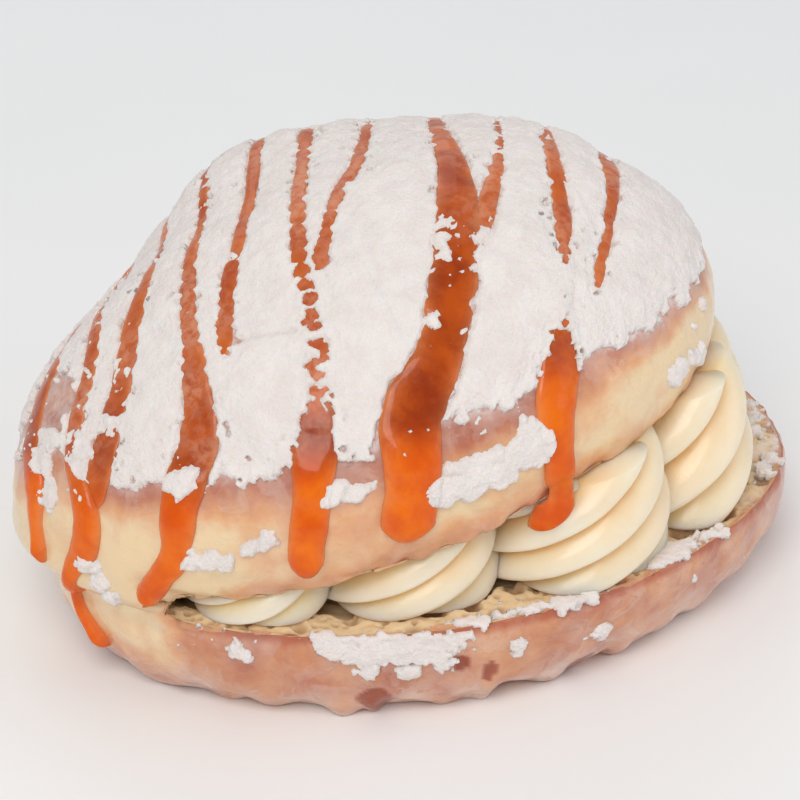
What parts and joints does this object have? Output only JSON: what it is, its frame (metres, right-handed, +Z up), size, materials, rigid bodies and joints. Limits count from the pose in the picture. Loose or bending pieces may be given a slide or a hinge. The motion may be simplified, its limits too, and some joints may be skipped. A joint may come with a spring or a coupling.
{
  "type": "cream-filled doughnut",
  "caption": "Oval filled doughnut cut open along one side, with piped cream rosettes in the cut, caramel strands and powdered sugar on top.",
  "frame": {"origin": "middle of the bounding box, on the surface that it rests on", "axes": "+X along the oval's long side, to the end where the cut is widest; +Z up"},
  "size_m": [0.1208, 0.0835, 0.0692],
  "materials": {
    "dough": "fried dough under a thin set glaze, satin",
    "crumb": "open crumb of the cut faces, matt",
    "cream": "piped custard cream, soft sheen",
    "caramel": "thick caramel sauce, glossy",
    "powdered_sugar": "powdered sugar, matt"
  },
  "bodies": {
    "root": {"dough": "dough", "cream": "cream"}
  },
  "joints": []
}
